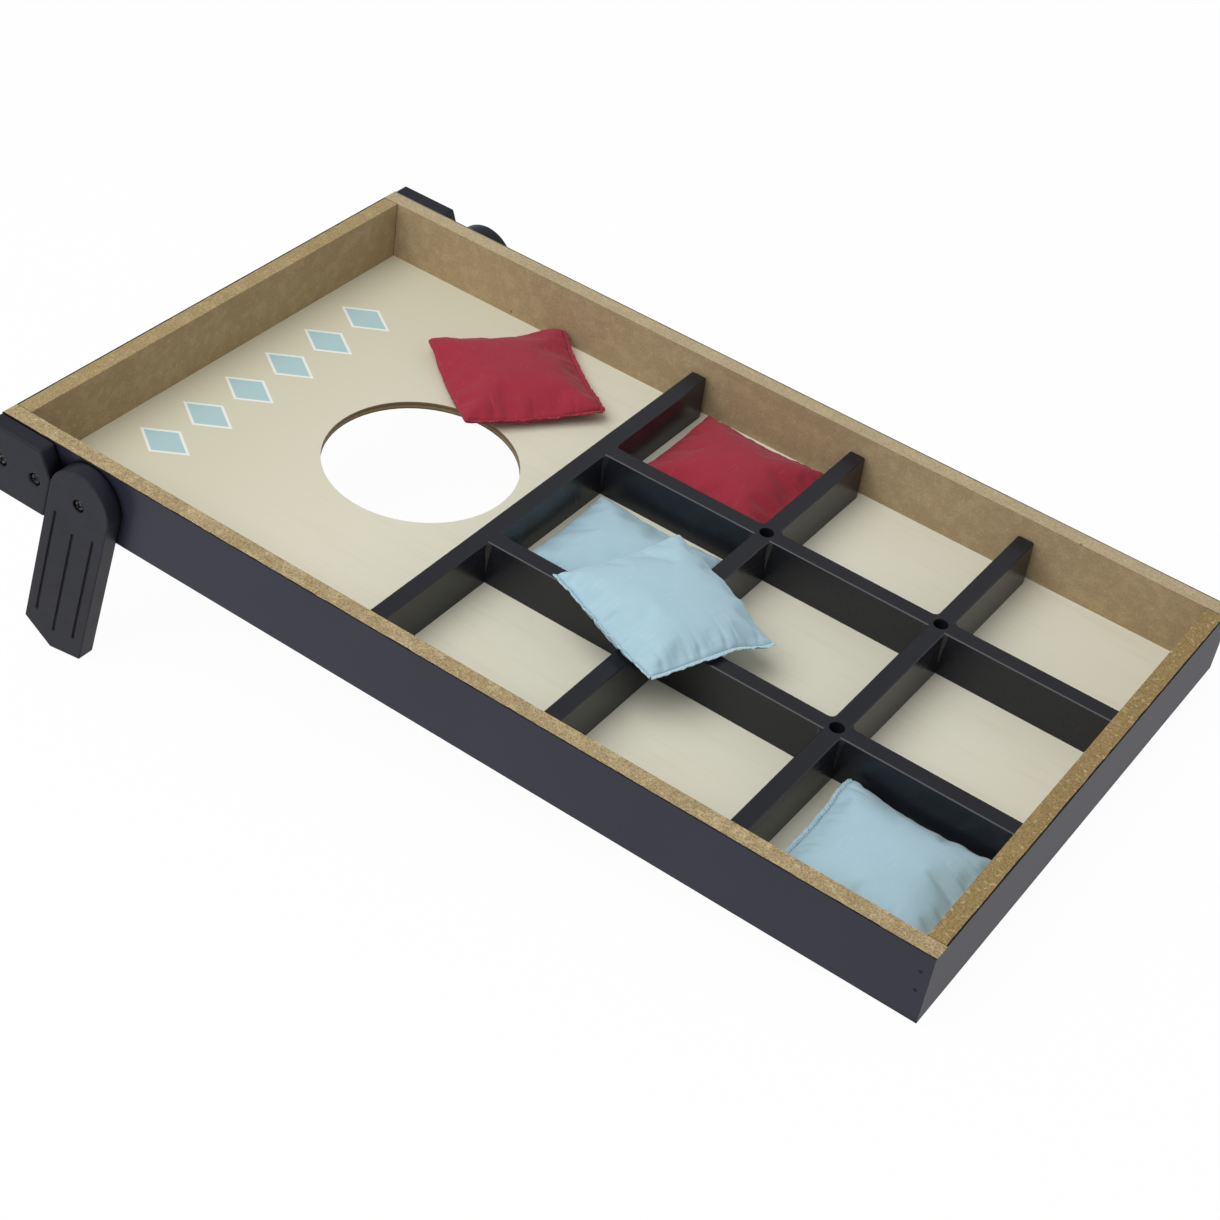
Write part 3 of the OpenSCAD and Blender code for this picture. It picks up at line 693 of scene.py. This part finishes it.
def flat_bag(name, corners, wave, bows):
    """Two flat square panels that share their rim and carry the coordinates of their weave."""
    shape = bmesh.new()
    weave = shape.verts.layers.float_vector.new(WEAVE)
    half = BAG_FLAT / 2

    def point(x, y, z):
        bow_x = bows.get("x+" if x > 0 else "x-", BOW)
        bow_y = bows.get("y+" if y > 0 else "y-", BOW)
        wide = x * (1 + bow_x * (1 - (y / half) ** 2))
        long = y * (1 + bow_y * (1 - (x / half) ** 2))
        vert = shape.verts.new((wide, long, z + raised(x, y, corners, wave)))
        vert[weave] = (x, y, 0.0)
        return vert

    tops = {}
    bottoms = {}
    for i in range(BAG_CELLS + 1):
        for j in range(BAG_CELLS + 1):
            x = i * BAG_CELL - half
            y = j * BAG_CELL - half
            if {i, j} & {0, BAG_CELLS}:
                tops[i, j] = bottoms[i, j] = point(x, y, 0.0)
            else:
                tops[i, j] = point(x, y, PANEL_GAP / 2)
                bottoms[i, j] = point(x, y, -PANEL_GAP / 2)
    for i in range(BAG_CELLS):
        for j in range(BAG_CELLS):
            ring = [(i, j), (i + 1, j), (i + 1, j + 1), (i, j + 1)]
            shape.faces.new([tops[k] for k in ring]).smooth = True
            shape.faces.new([bottoms[k] for k in reversed(ring)]).smooth = True
    return mesh_from(shape, name)


def mesh_from(shape, name):
    """Turns a bmesh into a mesh and frees it."""
    mesh = bpy.data.meshes.new(name)
    shape.to_mesh(mesh)
    shape.free()
    return mesh


def add_collider(mesh, place):
    """A mesh in the space of the simulation, which cloth can't pass."""
    mesh.transform(Matrix.Scale(SIM_SCALE, 4) @ place)
    obj = bpy.data.objects.new("collider", mesh)
    scene.collection.objects.link(obj)
    obj.modifiers.new("Collision", "COLLISION")
    obj.collision.thickness_outer = CLOTH_GAP * SIM_SCALE
    obj.collision.cloth_friction = CLOTH_FRICTION
    return obj


def add_bed(heights, laid):
    """A slope of packed pellets, which holds a bag up where it bridges a gap."""
    sheet = bpy.data.meshes.new("bed")
    places = [(x * BED, y * BED, height) for (x, y), height in heights.items()]
    sheet.from_pydata(places, [], BED_FACES)
    return add_collider(sheet, laid)


def add_cloth(obj, volume):
    """Cotton filled with pellets: it keeps its volume, bends softly and is drawn in by its stiffer seam."""
    panels = [item.vector for item in obj.data.attributes[WEAVE].data]
    rim_start = BAG_FLAT / 2 - BAG_CELL / 2
    on_seam = [k for k, panel in enumerate(panels) if max(abs(panel.x), abs(panel.y)) > rim_start]
    obj.vertex_groups.new(name=SEAM).add(on_seam, 1.0, "REPLACE")
    cloth = obj.modifiers.new("Cloth", "CLOTH")
    for key, value in COTTON_CLOTH.items():
        setattr(cloth.settings, key, value)
    cloth.settings.target_volume = volume * SIM_SCALE ** 3
    cloth.collision_settings.collision_quality = COLLISION_QUALITY
    cloth.collision_settings.distance_min = CLOTH_GAP * SIM_SCALE
    cloth.collision_settings.friction = CLOTH_FRICTION
    cloth.point_cache.frame_start = 1
    cloth.point_cache.frame_end = CLOTH_FRAMES


def discard(obj):
    mesh = obj.data
    bpy.data.objects.remove(obj)
    bpy.data.meshes.remove(mesh)


def bag_place(name, turn, shift, level):
    """Where the middle of a bag lies on the board: over its CAD solid, turned and moved a little."""
    cover = frame["nodes"][name + "_bag_cover"]
    places = [BOARD_INVERSE @ v.co for v in cover.data.vertices]
    middle_u = (min(p.x for p in places) + max(p.x for p in places)) / 2
    middle_v = (min(p.y for p in places) + max(p.y for p in places)) / 2
    laid = Matrix.Translation((middle_u + shift[0], middle_v + shift[1], level))
    return laid @ Matrix.Rotation(math.radians(turn), 4, "Z")


def sewn_bag(name, fabric, rests_on, corners, turn=0.0, level=BASE_TOP, wave=0.0, bed=None,
             shift=(0.0, 0.0), bows=None, volume=BAG_VOLUME):
    """A bag that settles where its CAD solid lies, on the pieces and the bed that it rests on."""
    laid = bag_place(name, turn, shift, level)
    mesh = flat_bag(name, corners, wave, bows or {})
    mesh.materials.append(fabric)
    mesh.transform(Matrix.Scale(SIM_SCALE, 4) @ laid @ Matrix.Translation((0.0, 0.0, BAG_START)))
    obj = bpy.data.objects.new("settling", mesh)
    scene.collection.objects.link(obj)
    colliders = []
    for source in rests_on:
        colliders.append(add_collider(source.data.copy(), BOARD_INVERSE @ source.matrix_world))
    if bed:
        colliders.append(add_bed(bed, laid))
    add_cloth(obj, volume)
    finer = obj.modifiers.new("Finer", "SUBSURF")
    finer.levels = 1
    for step in range(1, CLOTH_FRAMES + 1):
        scene.frame_set(step)
    graph = bpy.context.evaluated_depsgraph_get()
    settled = bpy.data.meshes.new_from_object(obj.evaluated_get(graph), preserve_all_data_layers=True,
                                              depsgraph=graph)
    settled.transform(BOARD @ Matrix.Scale(1 / SIM_SCALE, 4))
    for used in [obj] + colliders:
        discard(used)
    scene.frame_set(1)
    bag = bpy.data.objects.new(name + "_bag", settled)
    scene.collection.objects.link(bag)
    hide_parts(name + "_bag_cover", name + "_bag_filling")
    return bag


# Sewn edges of the bags
SIDES = {"x+": (0, 1), "x-": (0, -1), "y+": (1, 1), "y-": (1, -1)}
PUCKER = 1.3 * MM
PUCKER_REACH = 4.5 * MM
PUCKER_END = 3 * PUCKER_REACH
PUCKER_LENGTHS = (7 * MM, 9.5 * MM, 14 * MM)
PUCKER_PLAIN_SHARE = 0.5
RIM_ROW = BAG_CELL / 2
RIM_INNER = 3 * RIM_ROW
RIM_CLOSE = RIM_ROW / 3
RIM_SMOOTHING = 4
HEM_W = 3.0 * MM
HEM_T = 0.9 * MM
HEM_TUCK = 0.8 * MM
HEM_FLARE = 0.35
HEM_RIPPLES = (23.0, 11.0, 6.0)
# Upper half of a hem's section: shares of its width and of its thickness
HEM_SECTION = ((-HEM_TUCK / HEM_W, 0.5), (0.6, 0.5), (0.93, 0.35))
STITCH_R = 0.26 * MM
STITCH_SIDES = 6
# Rings of a stitch: share of its length, and its height and radius in thread radii
STITCH_RINGS = ((0.0, -0.6, 0.6), (0.2, 0.5, 1.0), (0.8, 0.5, 1.0), (1.0, -0.6, 0.6))
ZIGZAG_PITCH = 1.3 * MM
ZIGZAG_IN = 0.1 * HEM_W
ZIGZAG_OUT = 0.85 * HEM_W


def vectors(values, name):
    """One vector per row from the items of a mesh."""
    flat = np.empty(len(values) * 3)
    values.foreach_get(name, flat)
    return flat.reshape(-1, 3)


def unit(rows):
    """Vectors brought to a length of 1, row by row."""
    return rows / np.linalg.norm(rows, axis=1)[:, None]


def waves(steps, lengths, draw):
    """A soft wave of several lengths, from -1 to 1, that starts anywhere."""
    wave = np.zeros(len(steps))
    for length in lengths:
        wave += np.sin(2 * math.pi * (steps / length + draw.random())) / len(lengths)
    return wave


def pucker(mesh, side, share, draw):
    """Dents the cloth beside a sewn side, where the seam gathers it."""
    axis, sign = SIDES[side]
    half = BAG_FLAT / 2
    places = vectors(mesh.vertices, "co")
    normals = vectors(mesh.vertices, "normal")
    weave = vectors(mesh.attributes[WEAVE].data, "vector")
    depth = (half - weave[:, axis] * sign) / PUCKER_REACH
    along = weave[:, 1 - axis]
    gather = np.clip(waves(along, PUCKER_LENGTHS, draw), 0.0, 1.0)
    ends = np.clip((half - np.abs(along)) / PUCKER_END, 0.0, 1.0)
    dent = PUCKER * share * gather * ends * depth * np.exp(1 - depth)
    mesh.vertices.foreach_set("co", (places - normals * dent[:, None]).ravel())


def rim(mesh, side):
    """Places along one side of a bag's rim, the way out of the bag at each, and their weave coordinates."""
    axis, sign = SIDES[side]
    places = vectors(mesh.vertices, "co")
    weave = vectors(mesh.attributes[WEAVE].data, "vector")
    depth = BAG_FLAT / 2 - weave[:, axis] * sign
    along = np.round(weave[:, 1 - axis] / RIM_ROW).astype(int)
    on_rim = np.where(depth < RIM_CLOSE)[0]
    on_rim = on_rim[np.argsort(along[on_rim])]
    inner_row = np.abs(depth - RIM_INNER) < RIM_CLOSE
    out = []
    for vert in on_rim:
        beside = inner_row & (np.abs(along - along[vert]) <= 1)
        out.append(places[vert] - places[beside].mean(axis=0))
    smoothed = []
    for k in range(len(out)):
        nearby = out[max(0, k - RIM_SMOOTHING):k + RIM_SMOOTHING + 1]
        smoothed.append(np.mean(nearby, axis=0))
    return places[on_rim], unit(np.array(smoothed)), weave[on_rim]


def hem_frame(mesh, side, draw):
    """Middle line of a hem, the way out and the way up from it, and its weave coordinates."""
    places, out, weave = rim(mesh, side)
    run = unit(np.gradient(places, axis=0))
    out = unit(out - run * np.sum(out * run, axis=1)[:, None])
    up = np.cross(run, out)
    if up.mean(axis=0) @ np.array(NORMAL) < 0:
        up = -up
    ripple = waves(np.arange(len(out)), HEM_RIPPLES, draw)
    out = out + up * (HEM_FLARE * (1 + ripple))[:, None]
    return places, out, up, weave


def hem_mesh(name, lines):
    """Two layers of cotton, folded flat along each sewn side."""
    upper = [(HEM_W * far, high) for far, high in HEM_SECTION]
    lower = [(far, -high) for far, high in reversed(upper)]
    section = upper + [(HEM_W, 0.0)] + lower
    shape = bmesh.new()
    weave_layer = shape.verts.layers.float_vector.new(WEAVE)
    for places, out, up, weave in lines:
        rings = []
        for place, way_out, way_up, panel in zip(places, out, up, weave):
            ring = []
            for far, high in section:
                vert = shape.verts.new(Vector(place + way_out * far + way_up * high * HEM_T))
                vert[weave_layer] = Vector(panel) * (1 + far / BAG_FLAT * 2)
                ring.append(vert)
            rings.append(ring)
        close_tube(shape, rings)
    bmesh.ops.recalc_face_normals(shape, faces=shape.faces)
    return mesh_from(shape, name)


def close_tube(shape, rings):
    """Skins a row of rings and caps its two ends."""
    count = len(rings[0])
    for a, b in zip(rings, rings[1:]):
        for k in range(count):
            k_next = (k + 1) % count
            shape.faces.new([a[k], b[k], b[k_next], a[k_next]]).smooth = True
    shape.faces.new(rings[0])
    shape.faces.new(reversed(rings[-1]))


def add_stitch(shape, start, end, up):
    """One thread over the cloth, its ends drawn into it."""
    run = (end - start).normalized()
    side = run.cross(up).normalized()
    rings = []
    for share, high, thick in STITCH_RINGS:
        middle = start.lerp(end, share) + up * (high * STITCH_R)
        ring = []
        for k in range(STITCH_SIDES):
            angle = 2 * math.pi * k / STITCH_SIDES
            outward = side * math.cos(angle) + up * math.sin(angle)
            ring.append(shape.verts.new(middle + outward * thick * STITCH_R))
        rings.append(ring)
    close_tube(shape, rings)


def stitch_mesh(name, lines):
    """Zigzag stitches along both faces of the hems."""
    shape = bmesh.new()
    for places, out, up, _ in lines:
        gaps = np.linalg.norm(np.diff(places, axis=0), axis=1)
        length = np.concatenate([[0.0], np.cumsum(gaps)])
        count = int(length[-1] / ZIGZAG_PITCH)
        stops = np.linspace(0.0, length[-1], count + 1)

        def at_stops(values):
            return np.stack([np.interp(stops, length, values[:, k]) for k in range(3)], axis=1)

        place = at_stops(places)
        way_out = at_stops(out)
        way_up = at_stops(up)
        for face in (1, -1):
            points = []
            for k in range(count + 1):
                far = ZIGZAG_OUT if k % 2 else ZIGZAG_IN
                points.append(Vector(place[k] + way_out[k] * far + way_up[k] * face * HEM_T / 2))
            for k in range(count):
                add_stitch(shape, points[k], points[k + 1], Vector(way_up[k] * face).normalized())
    bmesh.ops.recalc_face_normals(shape, faces=shape.faces)
    return mesh_from(shape, name)


def finish_bag(bag, sides, fabric, sewing, slot_name, gather=1.0):
    """Adds the hems and stitches of a settled bag, and lets all of it ride on the bag's body."""
    draw = random.Random(bag.name)
    for side in SIDES:
        pucker(bag.data, side, gather if side in sides else gather * PUCKER_PLAIN_SHARE, draw)
    lines = [hem_frame(bag.data, side, draw) for side in sides]
    hem = bpy.data.objects.new(bag.name + "_hem", hem_mesh(bag.name + "_hem", lines))
    hem.data.materials.append(fabric)
    stitches = bpy.data.objects.new(bag.name + "_stitches", stitch_mesh(bag.name + "_stitches", lines))
    stitches.data.materials.append(sewing)
    for piece in (hem, stitches):
        scene.collection.objects.link(piece)
    for piece in (bag, hem, stitches):
        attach(piece, bag.name)


red_cotton = cotton("red_cotton", RED, RED_DEEP, RED_PALE)
blue_cotton = cotton("blue_cotton", BLUE, BLUE_DEEP, BLUE_PALE)
red_thread = thread("red_thread", RED_THREAD, RED_THREAD_DEEP)
blue_thread = thread("blue_thread", BLUE_THREAD, BLUE_THREAD_DEEP)
red = {"fabric": red_cotton, "sewing": red_thread, "slot_name": "red_fabric"}
blue = {"fabric": blue_cotton, "sewing": blue_thread, "slot_name": "blue_fabric"}
tray_nodes = ("base_board", "grid_divider", "near_side_rail", "far_side_rail", "foot_rail")
tray = [frame["nodes"][node] for node in tray_nodes]

# Where each bag lies, and how its corners and sides are drawn up
landed_red = sewn_bag("landed_red", red_cotton, tray, turn=53.0, bows={"y+": 0.075},
                      corners={(1, 1): 9 * MM, (-1, 1): 5 * MM, (1, -1): 6 * MM},
                      bed={(-1, -1): 4 * MM, (1, -1): 0.0, (1, 1): 0.0, (-1, 1): 0.0})
pocket_red = sewn_bag("pocket_red", red_cotton, tray, corners={})
under_blue = sewn_bag("under_blue", blue_cotton, tray, corners={})
upper_blue = sewn_bag("upper_blue", blue_cotton, tray + [under_blue], turn=-18.0, level=GRID_TOP,
                      shift=(1 * MM, -1 * MM), corners={(1, 1): -12 * MM},
                      bed={(-1, -1): 0.0, (1, -1): 0.0, (1, 1): -16 * MM, (-1, 1): 3 * MM})
corner_blue = sewn_bag("corner_blue", blue_cotton, tray, turn=0.5, shift=(4 * MM, 4 * MM),
                       corners={(-1, 1): 8 * MM}, wave=5 * MM, volume=BAG_FULL)
finish_bag(landed_red, ("x+", "y-"), **red, gather=0.55)
finish_bag(pocket_red, ("x+", "y-"), **red)
finish_bag(under_blue, ("x+", "y-"), **blue)
finish_bag(upper_blue, ("x+", "y-"), **blue)
finish_bag(corner_blue, ("x-", "y-"), **blue)

# Camera, placed by the straight edges of the board in the photograph
CAMERA_AT = Vector((0.71377, -1.0161, 0.88725))
CAMERA_RIGHT = Vector((0.82085, 0.57106, -0.01039))
CAMERA_UP = Vector((-0.31785, 0.47186, 0.82239))
FOCAL_LENGTH = 70.8
SENSOR = 36.0

camera_data = bpy.data.cameras.new("camera")
camera_data.lens = FOCAL_LENGTH
camera_data.sensor_width = SENSOR
camera = bpy.data.objects.new("camera", camera_data)
scene.collection.objects.link(camera)
camera_turn = Matrix((CAMERA_RIGHT, CAMERA_UP, CAMERA_RIGHT.cross(CAMERA_UP))).transposed()
camera.matrix_world = Matrix.Translation(CAMERA_AT) @ camera_turn.to_4x4()
scene.camera = camera

# Studio light: a pale sky that is brightest at the horizon, and one large soft lamp
WHITE = (1.0, 1.0, 1.0, 1.0)
HORIZON = 0.95
OVERHEAD = 0.4
SKY_BAND = (0.1, 0.6)
KEY_FROM = Vector((-0.12, -0.44, 0.89))
KEY_DISTANCE = 3.0
KEY_SIZE = 3.0
KEY_POWER = 72.0


class WorldTree(Tree):
    """Node tree of the world."""

    def __init__(self, name):
        self.world = bpy.data.worlds.new(name)
        self.world.use_nodes = True
        self.nodes = self.world.node_tree.nodes
        self.links = self.world.node_tree.links


world = WorldTree("studio")
_, _, height = world.axes(world.add("TexCoord").outputs["Generated"])
brightness = world.span(world.step(height, *SKY_BAND), HORIZON, OVERHEAD)
world.put(world.nodes["Background"].inputs["Strength"], brightness)
world.put(world.nodes["Background"].inputs["Color"], WHITE)
scene.world = world.world

key_data = bpy.data.lights.new("key", "AREA")
key_data.shape = "DISK"
key_data.size = KEY_SIZE
key_data.energy = KEY_POWER
key = bpy.data.objects.new("key", key_data)
key.location = KEY_FROM.normalized() * KEY_DISTANCE
key.rotation_mode = "QUATERNION"
key.rotation_quaternion = (-KEY_FROM).to_track_quat("-Z", "Y")
scene.collection.objects.link(key)

# Floor
FLOOR_SIZE = 60.0
FLOOR_DROP = 0.1 * MM
FLOOR_WHITE = 0.97
FLOOR_TONE = srgb(236, 236, 236)
FLOOR_SHADE = srgb(230, 230, 230)
FLOOR_CLOUDS = {"size": 0.5}
FLOOR_ROUGH = 0.9


def seen_directly(tree):
    """1 for what the camera sees, straight or by reflection, and 0 for light that falls on the object."""
    path = tree.add("LightPath").outputs
    seen = tree.most(path["Is Camera Ray"], path["Is Glossy Ray"])
    return tree.most(seen, path["Is Transmission Ray"])


def floor_material(name):
    """Pale floor that shows white where nothing shades it."""
    tree = Tree(name)
    tone = tree.mix(tree.noise(tree.own_place(), **FLOOR_CLOUDS), FLOOR_TONE, FLOOR_SHADE)
    set_shader(tree, tone, FLOOR_ROUGH, 0.0)
    white = tree.add("Emission", {"Color": WHITE, "Strength": 1.0}).outputs[0]
    share = tree.times(seen_directly(tree), FLOOR_WHITE)
    both = tree.add("MixShader", {0: share, 1: tree.shader.outputs[0], 2: white}).outputs[0]
    tree.put(tree.nodes["Material Output"].inputs["Surface"], both)
    return tree.material


edge = FLOOR_SIZE / 2
floor_corners = [(-edge, -edge, 0), (edge, -edge, 0), (edge, edge, 0), (-edge, edge, 0)]
floor_mesh = bpy.data.meshes.new("floor")
floor_mesh.from_pydata(floor_corners, [], [(0, 1, 2, 3)])
floor_mesh.materials.append(floor_material("floor"))
floor = bpy.data.objects.new("floor", floor_mesh)
floor.location.z = -FLOOR_DROP
scene.collection.objects.link(floor)
